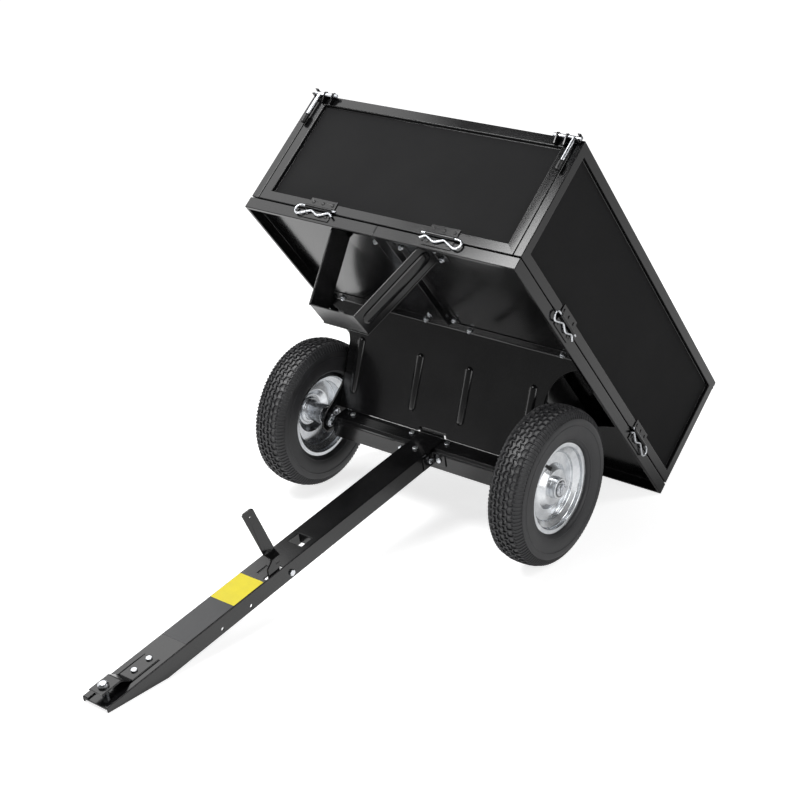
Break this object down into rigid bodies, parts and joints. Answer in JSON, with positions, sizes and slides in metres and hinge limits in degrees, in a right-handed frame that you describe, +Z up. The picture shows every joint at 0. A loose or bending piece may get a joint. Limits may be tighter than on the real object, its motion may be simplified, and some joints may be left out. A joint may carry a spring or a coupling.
{
  "type": "tipping dump cart",
  "caption": "Tow-behind tipping dump cart: folded steel bed with fold-down latched panels on an axle saddle, channel tongue with release lever and pin hitch, pneumatic wheels.",
  "frame": {"origin": "on the ground, under the middle of the whole cart as pictured, with the bed tipped and the tongue's nose on the ground", "axes": "+Z up, +X to the right wheel, -Y forward along the tongue to the hitch"},
  "size_m": [0.8306, 1.8712, 1.0377],
  "materials": {
    "black_steel": "semi-gloss black powder coat on pressed steel",
    "zinc_steel": "bright zinc plate on steel",
    "bearing_steel": "ground bearing steel",
    "spring_steel": "drawn spring wire",
    "tyre_rubber": "matte moulded rubber with a block tread",
    "valve_rubber": "matte moulded rubber",
    "grip_rubber": "matte dipped vinyl"
  },
  "bodies": {
    "chassis": {"tongue": "black_steel", "hitch_plate": "black_steel", "axle_beam": "black_steel", "beam_rear_angle": "black_steel", "tongue_brackets": "black_steel", "tongue_bolts": "zinc_steel", "axle_shaft": "zinc_steel", "axle_fittings": "zinc_steel", "lever_pivot": "zinc_steel", "lever_spring": "spring_steel"},
    "draw_pin": {"hitch_pin": "zinc_steel"},
    "release_lever": {"lever": "black_steel"},
    "bed": {"floor_left": "black_steel", "floor_right": "black_steel", "seam_strap": "black_steel", "saddle_front": "black_steel", "saddle_rear": "black_steel", "end_plate_left": "black_steel", "end_plate_right": "black_steel", "pivot_flanges": "zinc_steel", "pivot_bolts": "zinc_steel", "hoop": "black_steel", "bed_bolts": "zinc_steel", "sill_hinge_leaves": "black_steel", "sill_hinge_rivets": "black_steel", "hinge_clips": "zinc_steel"},
    "front_gate": {"front_panel": "black_steel", "front_hinge_leaves": "black_steel", "front_hinge_rivets": "black_steel", "front_latch_lugs": "black_steel"},
    "rear_gate": {"tailgate": "black_steel", "tailgate_hinge_leaves": "black_steel", "tailgate_hinge_rivets": "black_steel", "tailgate_latch_lugs": "black_steel"},
    "left_side": {"left_panel": "black_steel", "left_hinge_leaves": "black_steel", "left_hinge_rivets": "black_steel", "left_keepers": "black_steel"},
    "right_side": {"right_panel": "black_steel", "right_hinge_leaves": "black_steel", "right_hinge_rivets": "black_steel", "right_keepers": "black_steel"},
    "latch_front_left": {"front_left_latch": "zinc_steel", "front_left_grip": "grip_rubber"},
    "latch_front_right": {"front_right_latch": "zinc_steel", "front_right_grip": "grip_rubber"},
    "latch_rear_left": {"rear_left_latch": "zinc_steel", "rear_left_grip": "grip_rubber"},
    "latch_rear_right": {"rear_right_latch": "zinc_steel", "rear_right_grip": "grip_rubber"},
    "left_wheel": {"left_tyre": "tyre_rubber", "left_rim": "zinc_steel", "left_hub": "zinc_steel", "left_bearings": "bearing_steel", "left_valve": "valve_rubber"},
    "right_wheel": {"right_tyre": "tyre_rubber", "right_rim": "zinc_steel", "right_hub": "zinc_steel", "right_bearings": "bearing_steel", "right_valve": "valve_rubber"}
  },
  "joints": [
    {"name": "bed_tip", "type": "hinge", "parent": "chassis", "child": "bed", "pos_m": [0, 0.171, 0.2], "axis": [1, 0, 0], "range_deg": [0, 59.52]},
    {"name": "left_wheel_spin", "type": "hinge", "parent": "chassis", "child": "left_wheel", "pos_m": [-0.365, 0.171, 0.2], "axis": [1, 0, 0], "continuous": true},
    {"name": "right_wheel_spin", "type": "hinge", "parent": "chassis", "child": "right_wheel", "pos_m": [0.365, 0.171, 0.2], "axis": [1, 0, 0], "continuous": true},
    {"name": "lever_release", "type": "hinge", "parent": "chassis", "child": "release_lever", "pos_m": [0.0335, -0.37173, 0.08811], "axis": [1, 0, 0], "range_deg": [-6, 14], "stiffness_Nm_per_rad": 6, "deforming": ["lever_spring"]},
    {"name": "hitch_pin_lift", "type": "slide", "parent": "chassis", "child": "draw_pin", "axis": [0, -0.1794, 0.9838], "range_m": [0, 0.05]},
    {"name": "front_fold", "type": "hinge", "parent": "bed", "child": "front_gate", "pos_m": [0, -0.00414, 0.82041], "axis": [1, 0, 0], "range_deg": [0, 90]},
    {"name": "rear_fold", "type": "hinge", "parent": "bed", "child": "rear_gate", "pos_m": [0, 0.68678, 0.02049], "axis": [-1, 0, 0], "range_deg": [0, 90]},
    {"name": "left_fold", "type": "hinge", "parent": "bed", "child": "left_side", "pos_m": [-0.4035, 0.34132, 0.42045], "axis": [0, -0.6537, 0.7568], "range_deg": [0, 90]},
    {"name": "right_fold", "type": "hinge", "parent": "bed", "child": "right_side", "pos_m": [0.4035, 0.34132, 0.42045], "axis": [0, 0.6537, -0.7568], "range_deg": [0, 90]},
    {"name": "latch_front_left_slide", "type": "slide", "parent": "front_gate", "child": "latch_front_left", "axis": [1, 0, 0], "range_m": [0, 0.012]},
    {"name": "latch_front_right_slide", "type": "slide", "parent": "front_gate", "child": "latch_front_right", "axis": [-1, 0, 0], "range_m": [0, 0.012]},
    {"name": "latch_rear_left_slide", "type": "slide", "parent": "rear_gate", "child": "latch_rear_left", "axis": [1, 0, 0], "range_m": [0, 0.012]},
    {"name": "latch_rear_right_slide", "type": "slide", "parent": "rear_gate", "child": "latch_rear_right", "axis": [-1, 0, 0], "range_m": [0, 0.012]}
  ]
}
